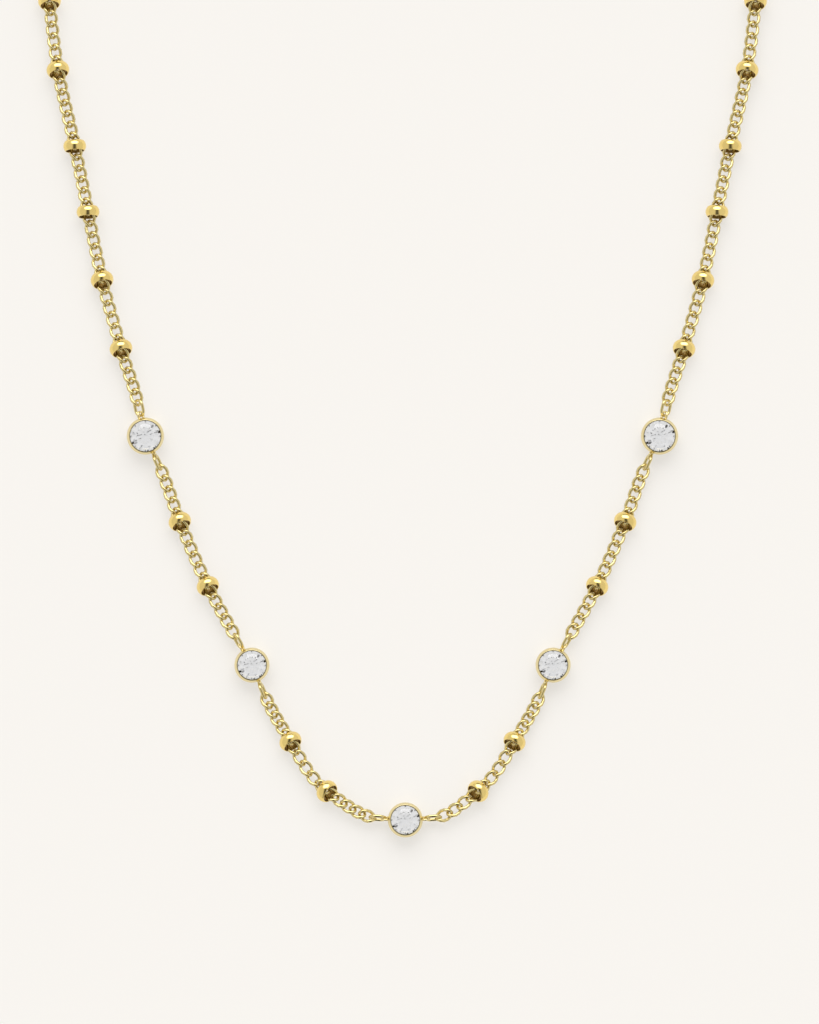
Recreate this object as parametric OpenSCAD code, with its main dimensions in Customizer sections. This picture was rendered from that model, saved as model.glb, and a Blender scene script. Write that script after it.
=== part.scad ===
// Fine curb chain necklace with drilled saucer beads and five stones in round bezels.
// It lies flat: X runs to the right, Y runs from the middle stone up to the clasp, Z is up
// from the surface that it lies on, and the origin is below the middle of the whole loop.

/* [Chain] */
// Thickness of the wire that the links are bent from
wire_d = 0.41; // [0.38:0.01:0.41]
// Width of a link over its wire
link_w = 2.0; // [1.98:0.01:2.01]
// Length of a link over its wire
link_l = 2.84; // [2.82:0.01:2.86]
// Largest spacing of the links, from centre to centre
link_pitch = 1.8; // [1.76:0.01:1.82]
// Twist of each end of a link out of the flat, in degrees
link_twist = 48; // [47:1:49]
// Depth that the chain sags between two beads ten millimetres apart
chain_sag = 0.4; // [0.35:0.05:0.4]

/* [Beads] */
// Diameter of a bead over its belly
bead_d = 3.3; // [3.2:0.05:3.4]
// Length of a bead along the chain
bead_l = 1.45; // [1.3:0.05:1.45]
// Diameter of a bead's flat ends
bead_end_d = 2.76; // [2.74:0.01:2.8]
// Diameter of the hole through a bead
bead_hole_d = 2.56; // [2.56:0.01:2.58]
// Spacing of the beads round the back of the neck
back_bead_gap = 10; // [9.5:0.5:10.5]

/* [Bezels and stones] */
// Outside diameter of the bezels of the upper pair
bezel_upper_d = 5.3; // [5.2:0.05:5.4]
// Outside diameter of the other three bezels
bezel_lower_d = 5; // [4.9:0.05:5.1]
// Height of a bezel's rim above its stone's girdle
bezel_rim = 0.63; // [0.58:0.01:0.7]
// Width of the lip that shows round a stone
bezel_lip = 0.46; // [0.42:0.01:0.5]

/* [Rings and clasp] */
// Length of an oval jump ring over its wire
ring_l = 2.65; // [2.6:0.05:2.7]
// Width of an oval jump ring over its wire
ring_w = 2.0; // [1.96:0.01:2.02]
// Thickness of the jump rings' wire
ring_wire_d = 0.44; // [0.4:0.01:0.45]
// Length of the clasp's barrel
clasp_l = 6; // [5:0.5:8]
// Diameter of the clasp's barrel
clasp_d = 2.5; // [2.4:0.1:2.8]

/* [Hidden] */
$fn = 48;

// Columns of the table of beads
OUT = 0;
UP = 1;
LEAN = 2;
TURN = 3;
// Beads of the left half from the top down: distance out from the middle line, height above
// the middle stone, how far the bead leans on the chain, and how far it is turned off the
// chain's course, anticlockwise, both in degrees
BEADS = [
    [50.4, 116.9, 28, 0],
    [49.2, 107.1, 28, 0],
    [46.8, 96.2, 12, -9],
    [44.9, 86.8, 12, -9],
    [42.9, 77.1, 28, 0],
    [40.2, 67.3, 27, 0],
    [31.8, 42.6, 28, 0],
    [27.8, 33.4, 28, 0],
    [16, 11.2, 28, 0],
    [10.8, 4.1, 31, 0]
];

// More columns of the table of bezels: outside diameter, headings of the eye nearer the clasp
// and of the other one, anticlockwise from the right, and how steeply the jump ring in each
// of them stands
WIDE = 2;
EYE_BACK = 3;
EYE_FRONT = 4;
RING_BACK = 5;
RING_FRONT = 6;
// Bezels of the left half from the top down
BEZELS = [
    [36.7, 54.8, bezel_upper_d, 103, -65, 46, 70],
    [21.5, 22.1, bezel_lower_d, 120, -67, 70, 75]
];
// The middle bezel sits a little to the right of the middle line, its eyes a little raised
MIDDLE_SHIFT = 0.4;
MIDDLE_EYE = 4;
MIDDLE_RING = 70;
// How far the chain swings up from the middle bezel's jump rings, in degrees
MIDDLE_SWING = 8;

// How many of the beads hang above the first bezel, and between the bezels
BEADS_ABOVE = 6;
BEADS_BETWEEN = 2;

// Gap kept between two wires that hold each other
wire_gap = 0.22;
link_half = (link_l - wire_d) / 2;
link_side = (link_w - wire_d) / 2;
link_steps = 10;
wire_sides = 5;

// A bead's belly is an arc from end to end
belly_rise = (bead_d - bead_end_d) / 2;
belly_r = (bead_l * bead_l / 4 + belly_rise * belly_rise) / (2 * belly_rise);
belly_centre = bead_d / 2 - belly_r;
// Lean that a bead has by itself on a level chain, the rest being the chain's own slope
bead_play = 23;

// Bezel cup and its stone, which reaches under the lip with a small gap all round
bezel_floor = 0.3;
bezel_foot = 0.15;
// Heading of the seam of a cup's round wall, clear of the eyes
cup_seam = 50;
lip_h = 0.25;
lip_cover = 0.03;
// The lip slopes down over this height on the outside, and is level over this width on top
lip_fall = 0.5;
lip_flat = 0.16;
seat_gap = 0.12;
culet_gap = 0.1;
girdle_h = 0.1;
// Shares of the stone's radius: height of the crown, depth of the pavilion, radius of the
// table, and of the tips of the star facets and of the lower halves
crown_share = 0.27;
pavilion_share = 0.83;
table_share = 0.56;
star_share = 0.8;
half_share = 0.24;

// Eyes soldered to a bezel's wall
eye_wire_d = 0.34;
eye_gap = 0.145;
eye_hole_d = ring_wire_d + 2 * eye_gap;
eye_r = (eye_hole_d + eye_wire_d) / 2;
eye_reach = eye_hole_d / 2;
eye_z = 1.3;
// Distance from a bezel's wall to the joint of its jump ring and the first link
ring_joint = eye_reach + ring_l - ring_wire_d - (ring_wire_d + wire_d) / 2 - wire_gap
    + link_half - link_pitch / 2;

// The back of the chain is one round arc that goes on where the first beads' line ends
back_lean = 10;
back_r = BEADS[0][OUT] / cos(back_lean);
back_centre_y = BEADS[0][UP] + back_r * sin(back_lean);
back_bead_lean = 14;
back_sweep = 90 + back_lean;
// Short step along the back arc, to read its course
arc_step = 0.1;

// Eyes at the ends of the clasp's barrel
clasp_eye_wire_d = 0.5;
clasp_eye_r = 0.68;
clasp_eye_x = clasp_l / 2 + clasp_eye_r;
clasp_reach = clasp_eye_x + clasp_eye_r + clasp_eye_wire_d / 2;

// The loop's lowest and highest points set the middle of the whole
loop_low = -bezel_lower_d / 2;
loop_high = back_centre_y + back_r + clasp_d / 2;
middle_y = (loop_low + loop_high) / 2;

SIDES = ["left", "right"];

// Small vector helpers
function flat(v) = [v.x, v.y, 0];
function unit(v) = v / norm(v);
function heading(v) = atan2(v.y, v.x);
function towards(angle) = [cos(angle), sin(angle), 0];

// Height of a leaning bead's centre when its belly touches the surface
function bead_rest(lean) = belly_centre * cos(lean) + belly_r;
// Slope of the chain inside a bead that leans more than its play
function chain_slope(lean) = tan(max(0, lean - bead_play));

// Point on the back arc, a distance of s along the chain behind the first bead
function back_angle(s) = 180 + back_lean - s / back_r * 180 / PI;
function back_z(s) = bead_rest(back_bead_lean) - chain_sag * pow(sin(180 * s / back_bead_gap), 2);
function back_point(s) = [
    back_r * cos(back_angle(s)),
    back_centre_y + back_r * sin(back_angle(s)),
    back_z(s)
];
back_length = back_sweep / 180 * PI * back_r;

// Curve from one knot to the next. A knot is a place, a level direction and a slope.
PLACE = 0;
COURSE = 1;
SLOPE = 2;
// Distance between two beads to which the stated sag belongs
sag_span = 10;
function ease(a, a_rate, b, b_rate, u) =
    a * (2 * pow(u, 3) - 3 * u * u + 1)
    + a_rate * (pow(u, 3) - 2 * u * u + u)
    + b * (3 * u * u - 2 * pow(u, 3))
    + b_rate * (pow(u, 3) - u * u);
function span_point(a, b, u) =
    let (reach = norm(flat(b[PLACE] - a[PLACE])))
    let (a_rate = reach * (a[COURSE] + [0, 0, a[SLOPE]]))
    let (b_rate = reach * (b[COURSE] + [0, 0, b[SLOPE]]))
    let (dip = chain_sag * pow(reach / sag_span, 2) * pow(sin(180 * u), 2))
    ease(a[PLACE], a_rate, b[PLACE], b_rate, u) - [0, 0, dip];

// The span between two knots, sampled and measured along its length
span_steps = 24;
function span_lengths(path) = [
    for (i = 0, s = 0; i < len(path); s = s + norm(path[min(i + 1, len(path) - 1)] - path[i]), i = i + 1)
        s
];
function span_table(a, b) =
    let (path = [for (j = [0:span_steps]) span_point(a, b, j / span_steps)], s = span_lengths(path))
    [for (axis = [0:2]) [for (i = [0:span_steps]) [s[i], path[i][axis]]]];
function span_length(span) = span[0][span_steps][0];
function span_place(span, s) = [for (axis = [0:2]) lookup(s, span[axis])];

// Knots of the left half. Beads take the direction from the piece before to the piece after.
function bead_place(i) = [-BEADS[i][OUT], BEADS[i][UP], bead_rest(BEADS[i][LEAN])];
function bezel_place(i) = [-BEZELS[i][OUT], BEZELS[i][UP], 0];
function middle_place(side) = [-side * MIDDLE_SHIFT, 0, 0];
function piece_before(i) =
    i == 0 ? back_point(back_bead_gap)
    : i == BEADS_ABOVE ? bezel_place(0)
    : i == BEADS_ABOVE + BEADS_BETWEEN ? bezel_place(1)
    : bead_place(i - 1);
function piece_after(i, side) =
    i == BEADS_ABOVE - 1 ? bezel_place(0)
    : i == BEADS_ABOVE + BEADS_BETWEEN - 1 ? bezel_place(1)
    : i == len(BEADS) - 1 ? middle_place(side)
    : bead_place(i + 1);
function bead_course(i, side) = unit(flat(piece_after(i, side) - piece_before(i)));
function bead_knot(i, side) = [bead_place(i), bead_course(i, side), chain_slope(BEADS[i][LEAN])];
// Knot at the joint of a jump ring and the chain, where the chain leaves or reaches a bezel
function ring_place(place, wide, angle) =
    place + (wide / 2 + ring_joint) * towards(angle) + [0, 0, eye_z];
function knot_from(place, wide, angle) = [ring_place(place, wide, angle), towards(angle), 0];
function knot_to(place, wide, angle, swing = 0) =
    [ring_place(place, wide, angle), -towards(angle - swing), 0];

// Runs of chain from the first bead to the first bezel, between the bezels, and to the middle
function upper_run(side) = concat(
    [for (i = [0:BEADS_ABOVE - 1]) bead_knot(i, side)],
    [knot_to(bezel_place(0), BEZELS[0][WIDE], BEZELS[0][EYE_BACK])]
);
function middle_run(side) = concat(
    [knot_from(bezel_place(0), BEZELS[0][WIDE], BEZELS[0][EYE_FRONT])],
    [for (i = [BEADS_ABOVE:BEADS_ABOVE + BEADS_BETWEEN - 1]) bead_knot(i, side)],
    [knot_to(bezel_place(1), BEZELS[1][WIDE], BEZELS[1][EYE_BACK])]
);
function lower_run(side) = concat(
    [knot_from(bezel_place(1), BEZELS[1][WIDE], BEZELS[1][EYE_FRONT])],
    [for (i = [BEADS_ABOVE + BEADS_BETWEEN:len(BEADS) - 1]) bead_knot(i, side)],
    [knot_to(middle_place(side), bezel_lower_d, 180 - MIDDLE_EYE, MIDDLE_SWING)]
);

// One curb link: an oval ring of wire whose two ends are twisted opposite ways
function link_point(t) =
    let (turn = -link_twist * cos(t))
    [link_half * cos(t), link_side * sin(t) * cos(turn), link_side * sin(t) * sin(turn)];
function link_ring(t) =
    let (along = unit(link_point(t + 1) - link_point(t - 1)))
    let (out = unit(cross(along, [0, 0, 1])))
    let (up = cross(out, along))
    [for (k = [0:wire_sides - 1])
        link_point(t) + wire_d / 2 * (cos(360 * k / wire_sides) * out + sin(360 * k / wire_sides) * up)];
LINK_POINTS = [for (i = [0:link_steps - 1]) each link_ring(360 * i / link_steps)];
LINK_FACES = [
    for (i = [0:link_steps - 1], k = [0:wire_sides - 1])
        let (j = (i + 1) % link_steps, m = (k + 1) % wire_sides)
        let (a = i * wire_sides + k, b = i * wire_sides + m)
        let (c = j * wire_sides + m, d = j * wire_sides + k)
        each [[a, b, c], [a, c, d]]
];

// The link that reaches from joint a to joint b, lying level across
function placed_link(a, b) =
    let (along = unit(b - a))
    let (across = unit(cross([0, 0, 1], along)))
    let (up = cross(along, across))
    [for (p = LINK_POINTS) (a + b) / 2 + p.x * along + p.y * across + p.z * up];
// Links share out each span evenly, so that two of them always meet in a bead's middle
function span_links(a, b) =
    let (span = span_table(a, b))
    let (count = ceil(span_length(span) / link_pitch))
    let (pitch = span_length(span) / count)
    [for (i = [0:count - 1]) placed_link(span_place(span, i * pitch), span_place(span, (i + 1) * pitch))];
function run_links(knots) = [for (i = [0:len(knots) - 2]) each span_links(knots[i], knots[i + 1])];

// All links of one half, loose in each other
module chain(side) {
    links = concat(
        run_links(upper_run(side)),
        run_links(middle_run(side)),
        run_links(lower_run(side))
    );
    points = [for (link = links) each link];
    faces = [
        for (n = [0:len(links) - 1], face = LINK_FACES)
            [for (corner = face) n * len(LINK_POINTS) + corner]
    ];
    color("gold")
        polyhedron(points, faces);
}

// Saucer bead with its hole along X
module bead() {
    rotate([0, 90, 0])
        rotate_extrude()
            intersection() {
                translate([belly_centre, 0])
                    circle(belly_r);
                translate([bead_hole_d / 2, -bead_l / 2])
                    square([bead_d, bead_l]);
            }
}

module placed_bead(place, course, lean, turn) {
    color("goldenrod")
        translate(place)
            rotate([0, -lean, heading(course) + turn])
                bead();
}

module front_bead(i, side) {
    placed_bead(bead_place(i), bead_course(i, side), BEADS[i][LEAN], BEADS[i][TURN]);
}

// Beads round the back, from the first bead's place to the clasp
module back_beads() {
    count = floor((back_length - clasp_reach) / back_bead_gap);
    for (i = [1:count]) {
        s = i * back_bead_gap;
        course = back_point(s - arc_step) - back_point(s + arc_step);
        placed_bead(back_point(s), course, back_bead_lean, 0);
    }
}

// Plain tube with the chain's own width and thickness along its way round the back
tube_steps_per_bead = 2;
tube_sides = 8;
tube_end_gap = 0.3;
tube_h = 1.05;
function tube_ring(s) =
    let (out = towards(back_angle(s)))
    [for (k = [0:tube_sides - 1])
        let (a = 360 * k / tube_sides)
        back_point(s) + link_w / 2 * cos(a) * out + [0, 0, tube_h / 2 * sin(a)]];
function tube_stops() =
    let (first = wire_d + tube_end_gap + link_half - link_pitch / 2)
    let (last = back_length - clasp_reach - tube_end_gap)
    let (step = back_bead_gap / tube_steps_per_bead)
    concat([first], [for (s = [step:step:last - wire_d]) s], [last]);

module back_chain() {
    stops = tube_stops();
    last = len(stops) - 1;
    points = [for (s = stops) each tube_ring(s)];
    sides = [
        for (i = [0:last - 1], k = [0:tube_sides - 1])
            let (m = (k + 1) % tube_sides)
            [i * tube_sides + k, (i + 1) * tube_sides + k, (i + 1) * tube_sides + m, i * tube_sides + m]
    ];
    ends = [
        [for (k = [0:tube_sides - 1]) k],
        [for (k = [tube_sides - 1:-1:0]) last * tube_sides + k]
    ];
    color("gold")
        polyhedron(points, concat(sides, ends));
}

// Closed round cup with an eye at each heading, its lip turned in over the stone's girdle
function lip_r(wide) = wide / 2 - bezel_lip;
function stone_r(wide) = lip_r(wide) + lip_cover;
function girdle_z(wide) = bezel_floor + culet_gap + pavilion_share * stone_r(wide);
function bezel_h(wide) = girdle_z(wide) + bezel_rim;

module bezel_cup(wide) {
    rotate([0, 0, cup_seam])
        rotate_extrude()
            polygon([
                [0, 0],
                [wide / 2 - bezel_foot, 0],
                [wide / 2, 2 * bezel_floor],
                [wide / 2, bezel_h(wide) - lip_fall],
                [lip_r(wide) + lip_flat, bezel_h(wide)],
                [0, bezel_h(wide)]
            ]);
}

// The hollow follows the stone's pavilion up to its girdle
module bezel_hollow(wide) {
    bore_r = stone_r(wide) + seat_gap;
    rotate_extrude()
        polygon([
            [0, bezel_floor],
            [bore_r / 2, bezel_floor],
            [bore_r, girdle_z(wide) - bezel_floor],
            [bore_r, girdle_z(wide) + girdle_h + seat_gap],
            [lip_r(wide), bezel_h(wide) - lip_h],
            [lip_r(wide), bezel_h(wide) + lip_h],
            [0, bezel_h(wide) + lip_h]
        ]);
}

module eye(wide, angle, ring_tilt) {
    translate((wide / 2 + eye_reach) * towards(angle) + [0, 0, eye_z])
        rotate([0, 0, angle])
            rotate([ring_tilt - 90, 0, 0])
                rotate_extrude()
                    translate([eye_r, 0])
                        circle(eye_wire_d / 2);
}

// The tilts are those of the two jump rings, seen along the eyes' headings
module bezel(wide, angles, ring_tilts) {
    color("khaki")
        difference() {
            union() {
                bezel_cup(wide);
                for (i = [0:1])
                    eye(wide, angles[i], ring_tilts[i]);
            }
            bezel_hollow(wide);
        }
}

// Round brilliant: a table, a crown of kites, stars and halves, a girdle and a pavilion
facets = 8;
function gem_round(r, z, shift) = [
    for (k = [0:facets - 1]) let (a = 360 * (k + shift) / facets) [r * cos(a), r * sin(a), z]
];
function gem_points(r) =
    let (crown_h = crown_share * r, pavilion_h = pavilion_share * r)
    let (top = girdle_h + crown_h, half = 180 / facets)
    let (star_run = r * star_share * cos(half) - r * table_share)
    let (star_z = top - crown_h * star_run / (r - r * table_share))
    let (half_z = -pavilion_h * (1 - half_share * cos(half)))
    concat(
        gem_round(r * table_share, top, 0),
        gem_round(r * star_share, star_z, 0.5),
        gem_round(r, girdle_h, 0),
        gem_round(r, girdle_h, 0.5),
        gem_round(r, 0, 0),
        gem_round(r, 0, 0.5),
        gem_round(r * half_share, half_z, 0.5),
        [[0, 0, -pavilion_h]]
    );
TABLE = 0;
STAR = 1;
GIRDLE_TOP = 2;
GIRDLE_TOP_HALF = 3;
GIRDLE_LOW = 4;
GIRDLE_LOW_HALF = 5;
LOWER_HALF = 6;
function gem(row, k) = row * facets + (k + facets) % facets;
CULET = 7 * facets;
function gem_faces_at(k) = [
    [gem(TABLE, k), gem(TABLE, k + 1), gem(STAR, k)],
    [gem(TABLE, k), gem(STAR, k), gem(GIRDLE_TOP, k), gem(STAR, k - 1)],
    [gem(STAR, k), gem(GIRDLE_TOP_HALF, k), gem(GIRDLE_TOP, k)],
    [gem(STAR, k), gem(GIRDLE_TOP, k + 1), gem(GIRDLE_TOP_HALF, k)],
    [gem(GIRDLE_TOP, k), gem(GIRDLE_TOP_HALF, k), gem(GIRDLE_LOW_HALF, k), gem(GIRDLE_LOW, k)],
    [gem(GIRDLE_TOP_HALF, k), gem(GIRDLE_TOP, k + 1), gem(GIRDLE_LOW, k + 1), gem(GIRDLE_LOW_HALF, k)],
    [gem(GIRDLE_LOW, k), gem(GIRDLE_LOW_HALF, k), gem(LOWER_HALF, k)],
    [gem(GIRDLE_LOW_HALF, k), gem(GIRDLE_LOW, k + 1), gem(LOWER_HALF, k)],
    [gem(GIRDLE_LOW, k), gem(LOWER_HALF, k), CULET, gem(LOWER_HALF, k - 1)]
];
GEM_FACES = concat(
    [[for (k = [facets - 1:-1:0]) gem(TABLE, k)]],
    [for (k = [0:facets - 1]) each gem_faces_at(k)]
);

module stone(wide) {
    color("white")
        translate([0, 0, girdle_z(wide)])
            polyhedron(gem_points(stone_r(wide)), GEM_FACES);
}

// Oval jump ring through a bezel's eye, standing steeply, its near end in the eye
module oval_ring() {
    bend_r = (ring_w - ring_wire_d) / 2;
    straight = ring_l - ring_w;
    for (end = [0, 1])
        mirror([end, 0, 0]) {
            translate([straight / 2, 0, 0])
                rotate([0, 0, -90])
                    rotate_extrude(angle = 180)
                        translate([bend_r, 0])
                            circle(ring_wire_d / 2);
        }
    for (y = [-bend_r, bend_r])
        translate([0, y, 0])
            rotate([0, 90, 0])
                cylinder(h = straight, d = ring_wire_d, center = true);
}

module jump_ring(place, wide, angle, tilt) {
    reach = wide / 2 + eye_reach + (ring_l - ring_wire_d) / 2;
    color("darkgoldenrod")
        translate(place + reach * towards(angle) + [0, 0, eye_z])
            rotate([0, 0, angle])
                rotate([tilt, 0, 0])
                    oval_ring();
}

// Rings of one half from the top down: two at each side bezel, then one at the middle bezel
module front_ring(i, side) {
    row = floor(i / 2);
    back = i % 2 == 0;
    if (row < len(BEZELS)) {
        angle = BEZELS[row][back ? EYE_BACK : EYE_FRONT];
        tilt = BEZELS[row][back ? RING_BACK : RING_FRONT];
        jump_ring(bezel_place(row), BEZELS[row][WIDE], angle, -tilt);
    } else {
        jump_ring(middle_place(side), bezel_lower_d, 180 - MIDDLE_EYE, -MIDDLE_RING);
    }
}

module side_bezel(i) {
    row = BEZELS[i];
    translate(bezel_place(i))
        bezel(row[WIDE], [row[EYE_BACK], row[EYE_FRONT]], -[row[RING_BACK], row[RING_FRONT]]);
}

module middle_bezel() {
    translate([MIDDLE_SHIFT, 0, 0])
        bezel(bezel_lower_d, [180 - MIDDLE_EYE, MIDDLE_EYE], [-MIDDLE_RING, MIDDLE_RING]);
}

module clasp() {
    color("gold")
        translate([0, back_centre_y + back_r, clasp_d / 2]) {
            rotate([0, 90, 0])
                cylinder(h = clasp_l - clasp_d, d = clasp_d, center = true);
            for (end = [-1, 1]) {
                translate([end * (clasp_l - clasp_d) / 2, 0, 0])
                    sphere(d = clasp_d);
                translate([end * clasp_eye_x, 0, 0])
                    rotate([90, 0, 0])
                        rotate_extrude()
                            translate([clasp_eye_r, 0])
                                circle(clasp_eye_wire_d / 2);
            }
        }
}

// Draws what is modelled for the left half on its own side of the middle line
module half(side) {
    translate([0, -middle_y, 0])
        mirror([side > 0 ? 1 : 0, 0, 0])
            children();
}

translate([0, -middle_y, 0]) middle_bezel();  // bezel_middle
translate([MIDDLE_SHIFT, -middle_y, 0]) stone(bezel_lower_d);  // stone_middle
translate([0, -middle_y, 0]) clasp();
for (side = [-1, 1]) {
    name = SIDES[(side + 1) / 2];
    half(side) chain(side);
    half(side) back_chain();
    half(side) back_beads();
    for (i = [0:len(BEADS) - 1])
        half(side) front_bead(i, side);
    for (i = [0:len(BEZELS) - 1]) {
        half(side) side_bezel(i);
        half(side) translate(bezel_place(i)) stone(BEZELS[i][WIDE]);
    }
    for (i = [0:2 * len(BEZELS)])
        half(side) front_ring(i, side);
}
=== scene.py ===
"""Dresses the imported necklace: curb links, polished gold, cut stones, the floor, lights and camera."""

import math

import bmesh
import bpy
import numpy as np
from bpy.props import FloatProperty, FloatVectorProperty, IntProperty, PointerProperty
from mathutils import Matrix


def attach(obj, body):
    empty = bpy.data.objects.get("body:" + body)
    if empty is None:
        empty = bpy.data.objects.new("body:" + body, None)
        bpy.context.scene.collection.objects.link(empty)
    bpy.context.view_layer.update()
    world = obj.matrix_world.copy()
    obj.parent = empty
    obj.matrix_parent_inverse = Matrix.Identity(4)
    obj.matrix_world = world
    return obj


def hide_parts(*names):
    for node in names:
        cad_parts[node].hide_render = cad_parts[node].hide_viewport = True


bl_info = {
    "name": "Crystal Necklace",
    "version": (1, 0, 0),
    "blender": (4, 5, 0),
    "location": "3D View > Sidebar > Necklace",
    "description": "Builds the links, finishes and stage of a fine curb chain necklace",
    "category": "Object",
}

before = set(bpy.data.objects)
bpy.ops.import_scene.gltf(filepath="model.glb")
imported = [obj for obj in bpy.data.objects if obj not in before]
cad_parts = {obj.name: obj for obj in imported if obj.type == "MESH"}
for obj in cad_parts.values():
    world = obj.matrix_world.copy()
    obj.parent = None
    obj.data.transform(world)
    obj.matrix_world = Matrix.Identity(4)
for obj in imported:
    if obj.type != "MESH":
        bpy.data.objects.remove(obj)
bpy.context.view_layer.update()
BODY = "root"
MM = 0.001
SIDES = (("left", -1), ("right", 1))

# Beads of the left half from the top down, in millimetres and degrees: distance out from the
# middle line, height above the middle stone, how far the bead leans on the chain, and how far
# it is turned off the chain's course, anticlockwise
BEADS = (
    (50.4, 116.9, 28, 0), (49.2, 107.1, 28, 0), (46.8, 96.2, 12, -9), (44.9, 86.8, 12, -9),
    (42.9, 77.1, 28, 0), (40.2, 67.3, 27, 0), (31.8, 42.6, 28, 0), (27.8, 33.4, 28, 0),
    (16, 11.2, 28, 0), (10.8, 4.1, 31, 0),
)
BEADS_ABOVE = 6
BEADS_BETWEEN = 2
# Bezels of the left half: distance out, height, outside diameter, and the headings of the eye
# nearer the clasp and of the other one
BEZELS = ((36.7, 54.8, 5.3, 103, -65), (21.5, 22.1, 5.0, 120, -67))
MIDDLE_BEZEL_D = 5.0
MIDDLE_SHIFT = 0.4
MIDDLE_EYE = 4

# Saucer beads: over the belly, along the chain, over the flat ends, and the bore
BEAD_D = 3.3
BEAD_L = 1.45
BEAD_END_D = 2.76
BEAD_HOLE_D = 2.56
BELLY_RISE = (BEAD_D - BEAD_END_D) / 2
BELLY_R = (BEAD_L ** 2 / 4 + BELLY_RISE ** 2) / (2 * BELLY_RISE)
BELLY_CENTRE = BEAD_D / 2 - BELLY_R
# Bezels: rim above the stone's girdle, lip, floor, the gaps round the stone and the depth of
# its pavilion as a share of its radius, the eyes' wire and hole
BEZEL_RIM = 0.63
BEZEL_LIP = 0.46
BEZEL_FLOOR = 0.3
CULET_GAP = 0.1
GIRDLE_H = 0.1
SEAT_GAP = 0.12
LIP_COVER = 0.03
LIP_H = 0.25
LIP_FALL = 0.5
LIP_FLAT = 0.16
PAVILION_SHARE = 0.83
EYE_WIRE_D = 0.34
EYE_HOLE_D = 0.73
# Width of the rounding between a bezel's back and its wall, and of its rim's small roundings
FOOT_ROUND = 0.15
RIM_ROUND = 0.015
# How steeply the jump rings stand in the eyes: bezel by bezel, nearer the clasp first
RING_TILTS = ((46, 70), (70, 75))
MIDDLE_TILT = 70
# How far the chain swings up from the middle bezel's jump rings, in degrees
MIDDLE_SWING = 8

# The chain's way, as in the part's source: lean that a bead has by itself, distance between two
# beads to which the stated sag belongs, and the round arc of the back with its beads
BEAD_PLAY = 23
SAG_SPAN = 10
BACK_LEAN = 10
BACK_BEAD_LEAN = 14
BACK_BEAD_GAP = 10
BACK_BEADS = 8
BACK_R = BEADS[0][0] / math.cos(math.radians(BACK_LEAN))
BACK_CENTRE_Y = BEADS[0][1] + BACK_R * math.sin(math.radians(BACK_LEAN))
BACK_LENGTH = math.radians(90 + BACK_LEAN) * BACK_R
# Short step along the back arc, to read its course
ARC_STEP = 0.1
# Height of the bezels' eyes, and distance from a bezel's wall to the joint of its jump ring and
# the first link
EYE_Z = 1.3
RING_JOINT = 2.245
# Clasp: height of its middle and so its radius, distance from its middle to the last link's far
# joint, length of the barrel, and the eyes' ring and wire
CLASP_Z = 1.25
CLASP_JOINT = 4.1
CLASP_L = 6
CLASP_EYE_R = 0.68
CLASP_EYE_WIRE_D = 0.5
# Half way between the loop's lowest and highest points
MIDDLE_Y = (BACK_CENTRE_Y + BACK_R + CLASP_Z - MIDDLE_BEZEL_D / 2) / 2

# Points along the way of the chain, from knot to knot and round the back
SPAN_STEPS = 24
BACK_STEPS = 40
# Fineness of the turned pieces: sides round the axis, and points along the arcs of a profile
BEAD_SIDES = 48
BELLY_STEPS = 15
RIM_STEPS = 5
# Share of a bead's belly that its rounded rims leave
BELLY_SHARE = 0.97
CUP_SIDES = 72
CLASP_SIDES = 40
CLASP_STEPS = 9
HOOP_STEPS = 32
HOOP_SIDES = 12
# Radius under which the end of a profile is on the axis
AXIS_REACH = 0.0001
# Angle between faces, in degrees, from which their edge is drawn sharp
SHARP_ANGLE = 35

# Stage, in metres: half the floor's width and how far it lies under the necklace, the height of
# the view and the place that the camera stands over
FLOOR_REACH = 0.6
FLOOR_BELOW = 0.00002
VIEW_HEIGHT = 0.1463
VIEW_X = 0.001
VIEW_Y = -0.0439


class NecklaceChain(bpy.types.PropertyGroup):
    wire: FloatProperty(
        name="Wire Thickness", description="Thickness of the links' wire",
        default=0.48 * MM, min=0.3 * MM, max=0.5 * MM, precision=5, unit="LENGTH")
    width: FloatProperty(
        name="Link Width", description="Width of a link over its wire",
        default=2.0 * MM, min=1.9 * MM, max=2.1 * MM, precision=5, unit="LENGTH")
    length: FloatProperty(
        name="Link Length", description="Length of a link over its wire",
        default=2.84 * MM, min=2.7 * MM, max=3.0 * MM, precision=5, unit="LENGTH")
    pitch: FloatProperty(
        name="Link Spacing", description="Largest distance from one link's middle to the next",
        default=1.8 * MM, min=1.7 * MM, max=1.9 * MM, precision=5, unit="LENGTH")
    twist: FloatProperty(
        name="End Twist", description="Turn of each end of a link out of the flat",
        default=math.radians(48), min=math.radians(40), max=math.radians(55), subtype="ANGLE")
    play: FloatProperty(
        name="Loose Play", description="Most that a link rolls in its neighbours",
        default=math.radians(1.5), min=0, max=math.radians(3), subtype="ANGLE")
    sag: FloatProperty(
        name="Sag", description="Depth that the chain sags between two beads",
        default=0.4 * MM, min=0, max=0.5 * MM, precision=5, unit="LENGTH")
    steps: IntProperty(
        name="Steps Round a Link", description="Rings of points along a link's wire",
        default=14, min=12, max=48)
    facets: IntProperty(
        name="Sides of the Wire", description="Points round the wire", default=6, min=5, max=16)


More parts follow.
